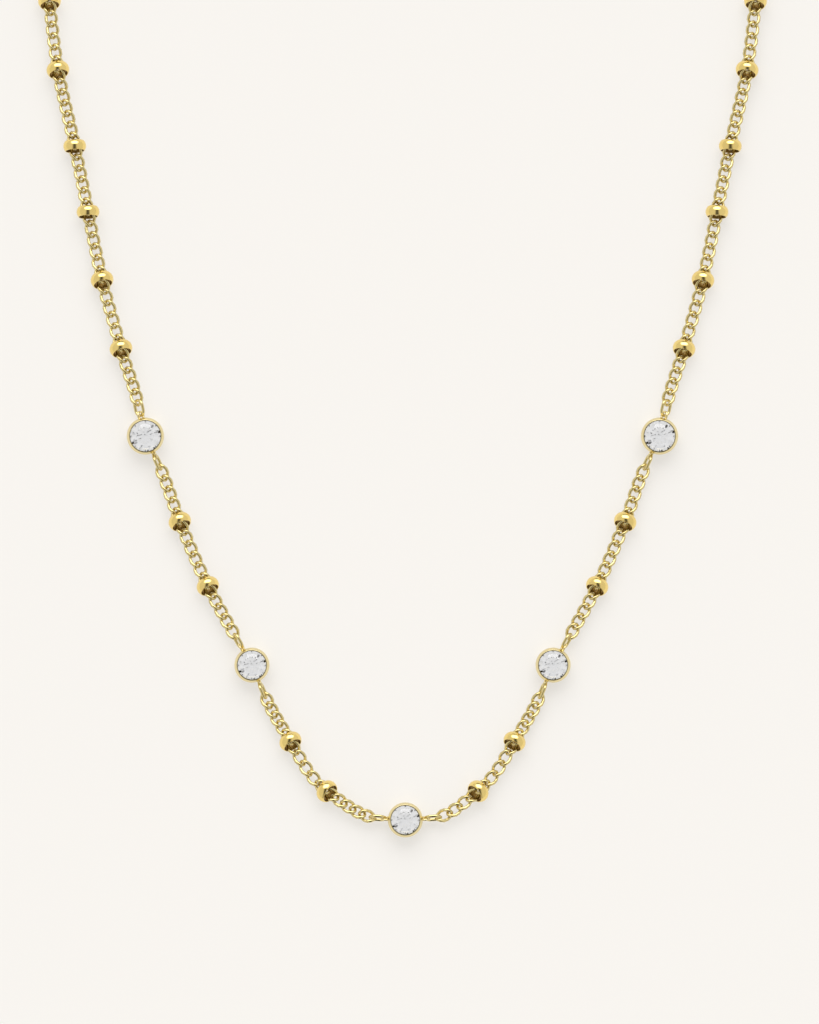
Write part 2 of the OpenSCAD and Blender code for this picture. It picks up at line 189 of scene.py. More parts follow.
class NecklaceFinish(bpy.types.PropertyGroup):
    bead: FloatVectorProperty(
        name="Bead Gold", description="Colour of the beads and the clasp", subtype="COLOR", size=3,
        default=(0.93, 0.715, 0.25), min=0, max=1)
    gloss: FloatProperty(
        name="Polish Roughness", description="Roughness of the polished gold",
        default=0.12, min=0.02, max=0.4, subtype="FACTOR")
    chain: FloatVectorProperty(
        name="Chain Gold", description="Colour of the links and jump rings", subtype="COLOR", size=3,
        default=(0.745, 0.62, 0.28), min=0, max=1)
    bezel: FloatVectorProperty(
        name="Bezel Gold", description="Colour of the bezels' paler plating", subtype="COLOR", size=3,
        default=(0.83, 0.71, 0.38), min=0, max=1)
    # The bore's dark colour is painted shade of the bead's deep hollow, on a rougher unpolished finish
    bore: FloatVectorProperty(
        name="Bead Bore", description="Colour of the unpolished inside of a bead", subtype="COLOR", size=3,
        default=(0.3, 0.19, 0.05), min=0, max=1)
    crystal: FloatVectorProperty(
        name="Crystal", description="Colour of the clear stones", subtype="COLOR", size=3,
        default=(0.97, 0.98, 1.0), min=0, max=1)


class NecklaceStage(bpy.types.PropertyGroup):
    floor: FloatVectorProperty(
        name="Floor", description="Colour of the plain floor", subtype="COLOR", size=3,
        default=(0.94, 0.917, 0.882), min=0, max=1)
    table_light: FloatProperty(
        name="Light Table", description="Share of the floor's brightness that it gives off by itself",
        default=0.618, min=0, max=1, subtype="FACTOR")
    bounce: FloatProperty(
        name="Floor Bounce", description="Share of the room's light that the floor gives back",
        default=0.4, min=0, max=1, subtype="FACTOR")
    window: FloatProperty(
        name="Window Light", description="Brightness of the wide light beyond the clasp",
        default=3.2, min=0, max=20)
    window_turn: FloatProperty(
        name="Window Turn", description="How far the window's middle is from straight above",
        default=math.radians(48), min=0, max=math.radians(90), subtype="ANGLE")
    window_width: FloatProperty(
        name="Window Width", description="Angle that the window spans from side to side",
        default=math.radians(62), min=0.1, max=math.radians(170), subtype="ANGLE")
    window_height: FloatProperty(
        name="Window Height", description="Angle that the window spans from its foot to its top",
        default=math.radians(52), min=0.1, max=math.radians(170), subtype="ANGLE")
    walls: FloatProperty(
        name="Side Walls", description="Brightness that the walls at both sides add",
        default=0.68, min=0, max=5)
    room: FloatProperty(
        name="Room Light", description="Brightness of the dim rest of the room",
        default=0.09, min=0, max=2)
    sparkle: FloatProperty(
        name="Sparkle", description="Brightness of the room as the stones show it",
        default=0.93, min=0, max=3)
    camera_height: FloatProperty(
        name="Camera Height", description="Height of the camera above the surface",
        default=2.5, min=0.3, max=4, unit="LENGTH")


# Route of the chain, in millimetres, for the left half

def towards(angle):
    return np.array([math.cos(math.radians(angle)), math.sin(math.radians(angle)), 0.0])


def level(vector):
    flat = np.array([vector[0], vector[1], 0.0])
    return flat / np.linalg.norm(flat)


def turned_off(course, angle):
    """A level direction turned anticlockwise, in degrees."""
    return towards(math.degrees(math.atan2(course[1], course[0])) + angle)


def bead_rest(lean):
    return BELLY_CENTRE * math.cos(math.radians(lean)) + BELLY_R


def bead_place(i):
    out, up, lean, _ = BEADS[i]
    return np.array([-out, up, bead_rest(lean)])


def bezel_place(i):
    return np.array([-BEZELS[i][0], BEZELS[i][1], 0.0])


def middle_place(side):
    return np.array([-side * MIDDLE_SHIFT, 0.0, 0.0])


def back_point(s, sag):
    angle = math.radians(180 + BACK_LEAN) - s / BACK_R
    return np.array([
        BACK_R * math.cos(angle), BACK_CENTRE_Y + BACK_R * math.sin(angle),
        bead_rest(BACK_BEAD_LEAN) - sag * math.sin(math.pi * s / BACK_BEAD_GAP) ** 2])


def bead_knot(i, side, sag):
    before = (
        back_point(BACK_BEAD_GAP, sag) if i == 0
        else bezel_place(0) if i == BEADS_ABOVE
        else bezel_place(1) if i == BEADS_ABOVE + BEADS_BETWEEN
        else bead_place(i - 1))
    after = (
        bezel_place(0) if i == BEADS_ABOVE - 1
        else bezel_place(1) if i == BEADS_ABOVE + BEADS_BETWEEN - 1
        else middle_place(side) if i == len(BEADS) - 1
        else bead_place(i + 1))
    slope = math.tan(math.radians(max(0, BEADS[i][2] - BEAD_PLAY)))
    return bead_place(i), level(after - before), slope


def ring_knot(place, wide, angle, sense, swing=0):
    joint = place + (wide / 2 + RING_JOINT) * towards(angle) + np.array([0, 0, EYE_Z])
    return joint, sense * towards(angle - swing), 0.0


def span_points(a, b, sag):
    reach = np.linalg.norm((b[0] - a[0])[:2])
    a_rate = reach * (a[1] + np.array([0, 0, a[2]]))
    b_rate = reach * (b[1] + np.array([0, 0, b[2]]))
    u = np.linspace(0, 1, SPAN_STEPS + 1)[:, None]
    points = (a[0] * (2 * u ** 3 - 3 * u * u + 1) + a_rate * (u ** 3 - 2 * u * u + u)
              + b[0] * (3 * u * u - 2 * u ** 3) + b_rate * (u ** 3 - u * u))
    points[:, 2] -= sag * (reach / SAG_SPAN) ** 2 * np.sin(np.pi * u[:, 0]) ** 2
    return points


def run_paths(knots, sag):
    return [span_points(a, b, sag) for a, b in zip(knots, knots[1:])]


def joints_along(path, pitch):
    """Joints of the links that share out a path evenly, no further apart than pitch."""
    steps = np.linalg.norm(np.diff(path, axis=0), axis=1)
    length = np.concatenate([[0], np.cumsum(steps)])
    count = math.ceil(length[-1] / pitch)
    stops = np.linspace(0, length[-1], count + 1)
    return np.stack([np.interp(stops, length, path[:, k]) for k in range(3)], axis=1)


def front_paths(side, sag):
    """One path for each span between two beads or rings, so that two links meet in each bead."""
    beads = [bead_knot(i, side, sag) for i in range(len(BEADS))]
    upper, lower = BEZELS
    first, second = BEADS_ABOVE, BEADS_ABOVE + BEADS_BETWEEN
    return (
        run_paths([*beads[:first], ring_knot(bezel_place(0), upper[2], upper[3], -1)], sag)
        + run_paths([ring_knot(bezel_place(0), upper[2], upper[4], 1), *beads[first:second],
                     ring_knot(bezel_place(1), lower[2], lower[3], -1)], sag)
        + run_paths([ring_knot(bezel_place(1), lower[2], lower[4], 1), *beads[second:],
                     ring_knot(middle_place(side), MIDDLE_BEZEL_D, 180 - MIDDLE_EYE, -1, MIDDLE_SWING)],
                    sag))


def back_paths(sag):
    """From the first bead round the back, bead by bead, and last into the clasp's eye."""
    last = BACK_LENGTH - CLASP_JOINT
    stops = [*range(0, (BACK_BEADS + 1) * BACK_BEAD_GAP, BACK_BEAD_GAP), last]
    paths = [
        np.array([back_point(s, sag) for s in np.linspace(a, b, BACK_STEPS)])
        for a, b in zip(stops, stops[1:])]
    # The last stretch rises to the height of the clasp's eye
    end = np.array([-CLASP_JOINT, BACK_CENTRE_Y + BACK_R, CLASP_Z])
    u = np.linspace(0, 1, BACK_STEPS)[:, None]
    paths[-1] += u * u * (3 - 2 * u) * (end - paths[-1][-1])
    return paths


def in_frame(points, side):
    """Millimetres of the left half's layout to metres of the shared frame."""
    return (points - np.array([0, MIDDLE_Y, 0])) * np.array([-side, 1, 1]) * MM


# Node trees

class Wiring:
    """Adds nodes to a tree and joins them, so that a formula reads as one."""

    def __init__(self, tree):
        self.tree = tree

    def node(self, kind, settings=(), **inputs):
        made = self.tree.nodes.new(kind)
        for name, value in settings:
            setattr(made, name, value)
        for name, value in inputs.items():
            self.feed(made.inputs[name.replace("_", " ")], value)
        return made

    def feed(self, socket, value):
        if isinstance(value, bpy.types.NodeSocket):
            self.tree.links.new(value, socket)
        else:
            socket.default_value = value

    def math(self, operation, *values, kind="ShaderNodeMath"):
        made = self.tree.nodes.new(kind)
        made.operation = operation
        for socket, value in zip(made.inputs, values):
            self.feed(socket, value)
        return made.outputs["Value"]


def new_tree(name, kind, inputs, outputs):
    tree = bpy.data.node_groups.new(name, kind)
    for label, socket, default in inputs:
        made = tree.interface.new_socket(label, in_out="INPUT", socket_type=socket)
        if default is not None:
            made.default_value = default
    for label, socket in outputs:
        tree.interface.new_socket(label, in_out="OUTPUT", socket_type=socket)
    wiring = Wiring(tree)
    given = tree.nodes.new("NodeGroupInput").outputs
    result = tree.nodes.new("NodeGroupOutput").inputs
    return tree, wiring, given, result


def link_tree():
    """Curb links at points that carry the direction along the chain."""
    tree, w, given, result = new_tree("Curb Links", "GeometryNodeTree", (
        ("Link Middles", "NodeSocketGeometry", None),
        ("Wire Thickness", "NodeSocketFloat", 0.48 * MM),
        ("Link Width", "NodeSocketFloat", 2.0 * MM),
        ("Link Length", "NodeSocketFloat", 2.84 * MM),
        ("End Twist", "NodeSocketFloat", math.radians(48)),
        ("Loose Play", "NodeSocketFloat", math.radians(1.5)),
        ("Steps", "NodeSocketInt", 14),
        ("Wire Sides", "NodeSocketInt", 6),
        ("Seed", "NodeSocketInt", 4),
        ("Metal", "NodeSocketMaterial", None),
    ), (("Links", "NodeSocketGeometry"),))
    wire = given["Wire Thickness"]
    half = w.math("MULTIPLY", w.math("SUBTRACT", given["Link Length"], wire), 0.5)
    side = w.math("MULTIPLY", w.math("SUBTRACT", given["Link Width"], wire), 0.5)
    index = w.node("GeometryNodeInputIndex").outputs[0]
    turn = w.math("DIVIDE", w.math("MULTIPLY", index, math.tau), given["Steps"])
    lengthways = w.math("COSINE", turn)
    across = w.math("MULTIPLY", side, w.math("SINE", turn))
    roll = w.math("MULTIPLY", w.math("MULTIPLY", given["End Twist"], -1.0), lengthways)
    place = w.node(
        "ShaderNodeCombineXYZ", X=w.math("MULTIPLY", half, lengthways),
        Y=w.math("MULTIPLY", across, w.math("COSINE", roll)),
        Z=w.math("MULTIPLY", across, w.math("SINE", roll)))
    oval = w.node("GeometryNodeCurvePrimitiveCircle", Resolution=given["Steps"])
    bent = w.node("GeometryNodeSetPosition", Geometry=oval.outputs["Curve"], Position=place.outputs[0])
    section = w.node(
        "GeometryNodeCurvePrimitiveCircle", Resolution=given["Wire Sides"],
        Radius=w.math("MULTIPLY", wire, 0.5))
    link = w.node("GeometryNodeCurveToMesh", Curve=bent.outputs[0])
    w.feed(link.inputs["Profile Curve"], section.outputs["Curve"])
    along = w.node("GeometryNodeInputNamedAttribute", [("data_type", "FLOAT_VECTOR")], Name="along")
    lie = w.node("FunctionNodeAxesToRotation", [("primary_axis", "X"), ("secondary_axis", "Z")])
    w.feed(lie.inputs[0], along.outputs[0])
    w.feed(lie.inputs[1], (0.0, 0.0, 1.0))
    loose = w.node("FunctionNodeRandomValue", Seed=given["Seed"])
    w.feed(loose.inputs[2], w.math("MULTIPLY", given["Loose Play"], -1.0))
    w.feed(loose.inputs[3], given["Loose Play"])
    rolled = w.node("FunctionNodeAxisAngleToRotation", Axis=(1.0, 0.0, 0.0), Angle=loose.outputs[1])
    set_down = w.node("FunctionNodeRotateRotation", [("rotation_space", "LOCAL")])
    w.feed(set_down.inputs[0], lie.outputs[0])
    w.feed(set_down.inputs[1], rolled.outputs[0])
    points = w.node("GeometryNodeMeshToPoints", Mesh=given["Link Middles"])
    strung = w.node(
        "GeometryNodeInstanceOnPoints", Points=points.outputs[0], Instance=link.outputs[0],
        Rotation=set_down.outputs[0])
    real = w.node("GeometryNodeRealizeInstances", Geometry=strung.outputs[0])
    smooth = w.node("GeometryNodeSetShadeSmooth", Geometry=real.outputs[0])
    finished = w.node("GeometryNodeSetMaterial", Geometry=smooth.outputs[0], Material=given["Metal"])
    w.feed(result["Links"], finished.outputs[0])
    return tree


def grown(name, mesh, tree, inputs):
    """The plain mesh that a node tree makes of a starting mesh, as an object of its own."""
    start = bpy.data.objects.new(name + "_start", mesh)
    bpy.context.scene.collection.objects.link(start)
    modifier = start.modifiers.new(tree.name, "NODES")
    modifier.node_group = tree
    sockets = {s.name: s.identifier for s in tree.interface.items_tree if s.in_out == "INPUT"}
    for label, value in inputs.items():
        modifier[sockets[label]] = value
    result = bpy.data.meshes.new_from_object(
        start.evaluated_get(bpy.context.evaluated_depsgraph_get()))
    bpy.data.objects.remove(start)
    result.name = name
    if not result.polygons:
        raise RuntimeError(name + " came out empty")
    made = bpy.data.objects.new(name, result)
    bpy.context.scene.collection.objects.link(made)
    return made


# Finishes

# Red, green and blue of the gold's deeper drifts, as shares of its own
DEEPER = (0.82, 0.74, 0.6)


def polish_group():
    """Hand polish: slow drifts of tone and gloss, and fine wheel marks."""
    tree, w, given, result = new_tree("Hand Polish", "ShaderNodeTree", (
        ("Metal Colour", "NodeSocketColor", (0.87, 0.65, 0.27, 1)),
        ("Deep Colour", "NodeSocketColor", (0.6, 0.38, 0.1, 1)),
        ("Roughness", "NodeSocketFloat", 0.12),
        ("Marks", "NodeSocketFloat", 1.0),
    ), (("Colour", "NodeSocketColor"), ("Roughness", "NodeSocketFloat"), ("Height", "NodeSocketFloat")))
    place = w.node("ShaderNodeTexCoord").outputs["Object"]
    drift = w.node("ShaderNodeTexNoise", Vector=place, Scale=420.0, Detail=3.0, Roughness=0.55)
    tone = w.node("ShaderNodeMapRange", Value=drift.outputs["Fac"], From_Min=0.42, From_Max=0.7,
                  To_Min=0.0, To_Max=0.22)
    colour = w.node("ShaderNodeMix", [("data_type", "RGBA")])
    w.feed(colour.inputs[0], tone.outputs[0])
    w.feed(colour.inputs[6], given["Metal Colour"])
    w.feed(colour.inputs[7], given["Deep Colour"])
    stretched = w.node("ShaderNodeMapping", Vector=place, Scale=(9000.0, 1400.0, 5200.0))
    marks = w.node("ShaderNodeTexNoise", Vector=stretched.outputs[0], Scale=1.0, Detail=4.0)
    uneven = w.node("ShaderNodeMapRange", Value=marks.outputs["Fac"], From_Min=0.3, From_Max=0.8,
                    To_Min=0.85, To_Max=1.35)
    w.feed(result["Colour"], colour.outputs[2])
    w.feed(result["Roughness"], w.math("MULTIPLY", given["Roughness"], uneven.outputs[0]))
    w.feed(result["Height"], w.math("MULTIPLY", marks.outputs["Fac"], given["Marks"]))
    return tree


def gold_finish(name, colour, polish, roughness, marks):
    material = bpy.data.materials.new(name)
    material.use_nodes = True
    w = Wiring(material.node_tree)
    shader = material.node_tree.nodes["Principled BSDF"]
    group = w.node("ShaderNodeGroup", [("node_tree", polish)], Roughness=roughness, Marks=marks)
    group.inputs["Metal Colour"].default_value = (*colour, 1)
    deep = (part * share for part, share in zip(colour, DEEPER))
    group.inputs["Deep Colour"].default_value = (*deep, 1)
    relief = w.node("ShaderNodeBump", Strength=0.06, Distance=0.00001, Height=group.outputs["Height"])
    w.feed(shader.inputs["Base Color"], group.outputs["Colour"])
    w.feed(shader.inputs["Roughness"], group.outputs["Roughness"])
    w.feed(shader.inputs["Normal"], relief.outputs[0])
    shader.inputs["Metallic"].default_value = 1.0
    shader.inputs["Coat Weight"].default_value = 0.3
    shader.inputs["Coat Roughness"].default_value = 0.04
    return material


def crystal_finish(finish):
    material = bpy.data.materials.new("crystal")
    material.use_nodes = True
    w = Wiring(material.node_tree)
    shader = material.node_tree.nodes["Principled BSDF"]
    place = w.node("ShaderNodeTexCoord").outputs["Object"]
    cloud = w.node("ShaderNodeTexNoise", Vector=place, Scale=700.0, Detail=2.0)
    tint = w.node("ShaderNodeMix", [("data_type", "RGBA")])
    w.feed(tint.inputs[0], cloud.outputs["Fac"])
    w.feed(tint.inputs[6], (*finish.crystal, 1))
    w.feed(tint.inputs[7], (finish.crystal[0] * 0.97, finish.crystal[1] * 0.98, 1, 1))
    w.feed(shader.inputs["Base Color"], tint.outputs[2])
    shader.inputs["Roughness"].default_value = 0.0
    shader.inputs["IOR"].default_value = 2.4
    shader.inputs["Specular Tint"].default_value = (0.3, 0.3, 0.3, 1)
    shader.inputs["Transmission Weight"].default_value = 1.0
    return material


def gold_of(context, name="bead_gold"):
    """One of the golds, made when it is first asked for."""
    made = bpy.data.materials.get(name)
    if made:
        return made
    finish = context.scene.necklace_finish
    colour, roughness, marks = {
        "bead_gold": (finish.bead, finish.gloss, 1.0),
        "chain_gold": (finish.chain, finish.gloss, 1.0),
        "bezel_gold": (finish.bezel, finish.gloss, 1.0),
        # The bore's gold is rougher, and its dark colour is painted shade
        "bead_bore_painted_shade": (finish.bore, 0.38, 2.5),
    }[name]
    polish = bpy.data.node_groups.get("Hand Polish") or polish_group()
    return gold_finish(name, colour, polish, roughness, marks)


def dress(node, material):
    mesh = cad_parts[node].data
    mesh.materials.clear()
    mesh.materials.append(material)


# Pieces

def turned(profile, sides):
    """Points and faces of a profile of radius and height turned about Z. It either closes on
    itself or starts and ends on the axis."""
    profile = np.array(profile, dtype=float)
    closed = profile[0, 0] > AXIS_REACH
    rows = profile if closed else profile[1:-1]
    turn = np.linspace(0, 2 * math.pi, sides, endpoint=False)
    points = np.stack([
        np.outer(rows[:, 0], np.cos(turn)), np.outer(rows[:, 0], np.sin(turn)),
        np.repeat(rows[:, 1:2], sides, axis=1)], axis=2).reshape(-1, 3)
    count = len(rows)
    faces = []
    for i in range(count if closed else count - 1):
        j = (i + 1) % count
        for k in range(sides):
            m = (k + 1) % sides
            faces.append((i * sides + k, i * sides + m, j * sides + m, j * sides + k))
    if not closed:
        foot, top = len(points), len(points) + 1
        points = np.concatenate([points, [[0, 0, profile[0, 1]], [0, 0, profile[-1, 1]]]])
        last = (count - 1) * sides
        for k in range(sides):
            m = (k + 1) % sides
            faces.append((foot, m, k))
            faces.append((top, last + k, last + m))
    return points, faces


def arc(centre, radius, start, end, steps):
    """Points of an arc in a profile, its angles in degrees from the radius' direction."""
    turn = np.radians(np.linspace(start, end, steps))
    return [(centre[0] + radius * math.cos(a), centre[1] + radius * math.sin(a)) for a in turn]


def axes_for(course, lean):
    """Axes of a bead: Z along its bore, which leans up by an angle ahead."""
    lean = math.radians(lean)
    ahead = np.array([course[0] * math.cos(lean), course[1] * math.cos(lean), math.sin(lean)])
    beside = np.array([-course[1], course[0], 0.0])
    return np.stack([beside, np.cross(ahead, beside), ahead])


def piece(name, node, parts, materials, side):
    """One object of shells, each of them points, faces and the number of its material."""
    points, faces, kinds = [], [], []
    for shell, its_faces, its_kinds in parts:
        start = sum(len(p) for p in points)
        points.append(in_frame(shell, side))
        faces += [tuple(start + c for c in face) for face in its_faces]
        kinds += list(its_kinds)
    mesh = bpy.data.meshes.new(name)
    mesh.from_pydata(np.concatenate(points).tolist(), [], faces)
    for material in materials:
        mesh.materials.append(material)
    mesh.polygons.foreach_set("material_index", kinds)
    work = bmesh.new()
    work.from_mesh(mesh)
    bmesh.ops.recalc_face_normals(work, faces=work.faces)
    work.to_mesh(mesh)
    work.free()
    mesh.shade_smooth()
    mesh.set_sharp_from_angle(angle=math.radians(SHARP_ANGLE))
    made = bpy.data.objects.new(name, mesh)
    bpy.context.scene.collection.objects.link(made)
    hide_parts(node)
    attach(made, BODY)
    return made


def bead_profile():
    """Belly, rounded rim, bore and rim again, as radius and height along the bore."""
    spread = math.degrees(math.asin(BEAD_L / 2 / BELLY_R))
    rim = (BEAD_END_D - BEAD_HOLE_D) / 4
    middle = (BEAD_END_D + BEAD_HOLE_D) / 4
    belly = arc((BELLY_CENTRE, 0), BELLY_R, -spread * BELLY_SHARE, spread * BELLY_SHARE, BELLY_STEPS)
    top = arc((middle, BEAD_L / 2 - rim), rim, 40, 180, RIM_STEPS)
    low = arc((middle, rim - BEAD_L / 2), rim, 180, 320, RIM_STEPS)
    return belly + top + low


def bead_at(place, course, lean):
    points, faces = turned(bead_profile(), BEAD_SIDES)
    points = place + points @ axes_for(course, lean)
    # The bore and the last step of the rim at both its ends are unpolished, and their gold is darkened
    # with painted shade of the hollow
    first = BELLY_STEPS + RIM_STEPS - 2
    bore = range(first, first + 3)
    kinds = [1 if n // BEAD_SIDES in bore else 0 for n in range(len(faces))]
    return points, faces, kinds


def bead_piece(context, name, node, rows, side):
    return piece(name, node, rows, [gold_of(context), gold_of(context, "bead_bore_painted_shade")], side)


def cup_profile(wide):
    """Foot, wall, sloping lip over the stone's edge and the hollow that holds the stone."""
    out, lip = wide / 2, wide / 2 - BEZEL_LIP
    bore = lip + LIP_COVER + SEAT_GAP
    girdle = BEZEL_FLOOR + CULET_GAP + PAVILION_SHARE * (lip + LIP_COVER)
    top = girdle + BEZEL_RIM
    flat = lip + LIP_FLAT
    return [
        (0, 0), (out - 0.5, 0), (out - FOOT_ROUND, 0), (out - 0.08, 0.08), (out, 0.5), (out, 1.4),
        (out, top - LIP_FALL - 0.04), (out - RIM_ROUND, top - LIP_FALL + 0.03), (flat + 0.02, top - 0.04),
        (flat, top - 0.008), (flat - RIM_ROUND, top), (lip + RIM_ROUND, top), (lip, top - RIM_ROUND),
        (lip, top - LIP_H), (bore, girdle + GIRDLE_H + SEAT_GAP), (bore, girdle - BEZEL_FLOOR),
        (bore / 2, BEZEL_FLOOR), (0, BEZEL_FLOOR)]


def hoop(centre, ahead, beside, reach, wire):
    """A round ring of wire in the plane of two directions."""
    steps, sides = HOOP_STEPS, HOOP_SIDES
    turn = np.linspace(0, 2 * math.pi, steps, endpoint=False)
    round_wire = np.linspace(0, 2 * math.pi, sides, endpoint=False)
    out = (np.cos(turn)[:, None] * ahead + np.sin(turn)[:, None] * beside)[:, None]
    up = np.cross(ahead, beside)
    section = np.cos(round_wire)[None, :, None] * out + np.sin(round_wire)[None, :, None] * up
    points = (centre + reach * out + wire / 2 * section).reshape(-1, 3)
    faces = [
        (i * sides + k, i * sides + (k + 1) % sides,
         (i + 1) % steps * sides + (k + 1) % sides, (i + 1) % steps * sides + k)
        for i in range(steps) for k in range(sides)]
    return points, faces, [0] * len(faces)


def bezel_piece(context, name, node, place, wide, eyes, side):
    points, faces = turned(cup_profile(wide), CUP_SIDES)
    parts = [(points + place, faces, [0] * len(faces))]
    for angle, tilt in eyes:
        ahead = towards(angle)
        slope = math.radians(90 - tilt)
        beside = np.cross([0, 0, 1.0], ahead)
        stands = math.cos(slope) * np.array([0, 0, 1.0]) + math.sin(slope) * beside
        middle = place + (wide / 2 + EYE_HOLE_D / 2) * ahead + np.array([0, 0, EYE_Z])
        parts.append(hoop(middle, ahead, stands, (EYE_HOLE_D + EYE_WIRE_D) / 2, EYE_WIRE_D))
    return piece(name, node, parts, [gold_of(context, "bezel_gold")], side)


def strand(context, name, node, paths, side, seed):
    """One object of curb links along its paths, in place of a node of the frame."""
    sizes = context.scene.necklace_chain
    starts, ends = [], []
    for path in paths:
        joints = in_frame(joints_along(path, sizes.pitch / MM), side)
        starts.append(joints[:-1])
        ends.append(joints[1:])
    starts, ends = np.concatenate(starts), np.concatenate(ends)
    middles = bpy.data.meshes.new(name + "_middles")
    middles.from_pydata(((starts + ends) / 2).tolist(), [], [])
    along = middles.attributes.new("along", "FLOAT_VECTOR", "POINT")
    along.data.foreach_set("vector", (ends - starts).ravel())
    tree = bpy.data.node_groups.get("Curb Links") or link_tree()
    made = grown(name, middles, tree, {
        "Wire Thickness": sizes.wire, "Link Width": sizes.width, "Link Length": sizes.length,
        "End Twist": -side * sizes.twist, "Loose Play": sizes.play, "Steps": sizes.steps,
        "Wire Sides": sizes.facets, "Seed": seed, "Metal": gold_of(context, "chain_gold")})
    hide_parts(node)
    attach(made, BODY)
    return made


class NECKLACE_OT_chain(bpy.types.Operator):
    """Strings the curb links of the whole loop"""
    bl_idname = "necklace.chain"
    bl_label = "Curb Chain"

    def execute(self, context):
        sag = context.scene.necklace_chain.sag / MM
        for seed, (name, side) in enumerate(SIDES):
            strand(context, f"links_{name}", f"chain_{name}", front_paths(side, sag), side, seed)
            strand(context, f"links_back_{name}", f"chain_back_{name}", back_paths(sag), side, seed + 8)
        return {"FINISHED"}


class NECKLACE_OT_beads(bpy.types.Operator):
    """Turns the saucer beads and threads them on the chain"""
    bl_idname = "necklace.beads"
    bl_label = "Saucer Beads"

    def execute(self, context):
        sag = context.scene.necklace_chain.sag / MM
        for name, side in SIDES:
            for i, (_, _, lean, turn) in enumerate(BEADS):
                place, course, _ = bead_knot(i, side, sag)
                rows = [bead_at(place, turned_off(course, turn), lean)]
                bead_piece(context, f"saucer_{name}_{i + 1}", f"bead_{name}_{i + 1}", rows, side)
            rows = []
            for i in range(1, BACK_BEADS + 1):
                s = i * BACK_BEAD_GAP
                course = level(back_point(s - ARC_STEP, sag) - back_point(s + ARC_STEP, sag))
                rows.append(bead_at(back_point(s, sag), course, BACK_BEAD_LEAN))
            bead_piece(context, f"saucers_back_{name}", f"beads_back_{name}", rows, side)
        return {"FINISHED"}


class NECKLACE_OT_bezels(bpy.types.Operator):
    """Turns the bezels with their rounded lips and solders on the eyes"""
    bl_idname = "necklace.bezels"
    bl_label = "Bezels"

    def execute(self, context):
        for name, side in SIDES:
            for i, (_, _, wide, back, front) in enumerate(BEZELS):
                bezel_piece(context, f"cup_{name}_{i + 1}", f"bezel_{name}_{i + 1}", bezel_place(i), wide,
                            ((back, RING_TILTS[i][0]), (front, RING_TILTS[i][1])), side)
        middle = np.array([MIDDLE_SHIFT, 0.0, 0.0])
        bezel_piece(context, "cup_middle", "bezel_middle", middle, MIDDLE_BEZEL_D,
                    ((180 - MIDDLE_EYE, MIDDLE_TILT), (MIDDLE_EYE, -MIDDLE_TILT)), -1)
        return {"FINISHED"}


class NECKLACE_OT_rings(bpy.types.Operator):
    """Polishes the jump rings"""
    bl_idname = "necklace.rings"
    bl_label = "Jump Rings"

    def execute(self, context):
        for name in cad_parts:
            if name.startswith("ring"):
                dress(name, gold_of(context, "chain_gold"))
        return {"FINISHED"}


class NECKLACE_OT_stones(bpy.types.Operator):
    """Gives the stones their crystal"""
    bl_idname = "necklace.stones"
    bl_label = "Stones"

    def execute(self, context):
        crystal = crystal_finish(context.scene.necklace_finish)
        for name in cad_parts:
            if name.startswith("stone"):
                dress(name, crystal)
        return {"FINISHED"}


class NECKLACE_OT_clasp(bpy.types.Operator):
    """Turns the clasp's barrel and solders on its eyes"""
    bl_idname = "necklace.clasp"
    bl_label = "Clasp"

    def execute(self, context):
        middle = np.array([0.0, BACK_CENTRE_Y + BACK_R, CLASP_Z])
        straight = CLASP_L / 2 - CLASP_Z
        low = arc((0, -straight), CLASP_Z, -90, 0, CLASP_STEPS)
        high = arc((0, straight), CLASP_Z, 0, 90, CLASP_STEPS)
        points, faces = turned(low + high, CLASP_SIDES)
        parts = [(middle + points[:, [2, 0, 1]], faces, [0] * len(faces))]
        for end in (-1, 1):
            eye = middle + np.array([end * (CLASP_L / 2 + CLASP_EYE_R), 0.0, 0.0])
            parts.append(hoop(eye, towards(0), np.array([0.0, 0.0, 1.0]), CLASP_EYE_R, CLASP_EYE_WIRE_D))
        piece("clasp_barrel", "clasp", parts, [gold_of(context)], -1)
        return {"FINISHED"}


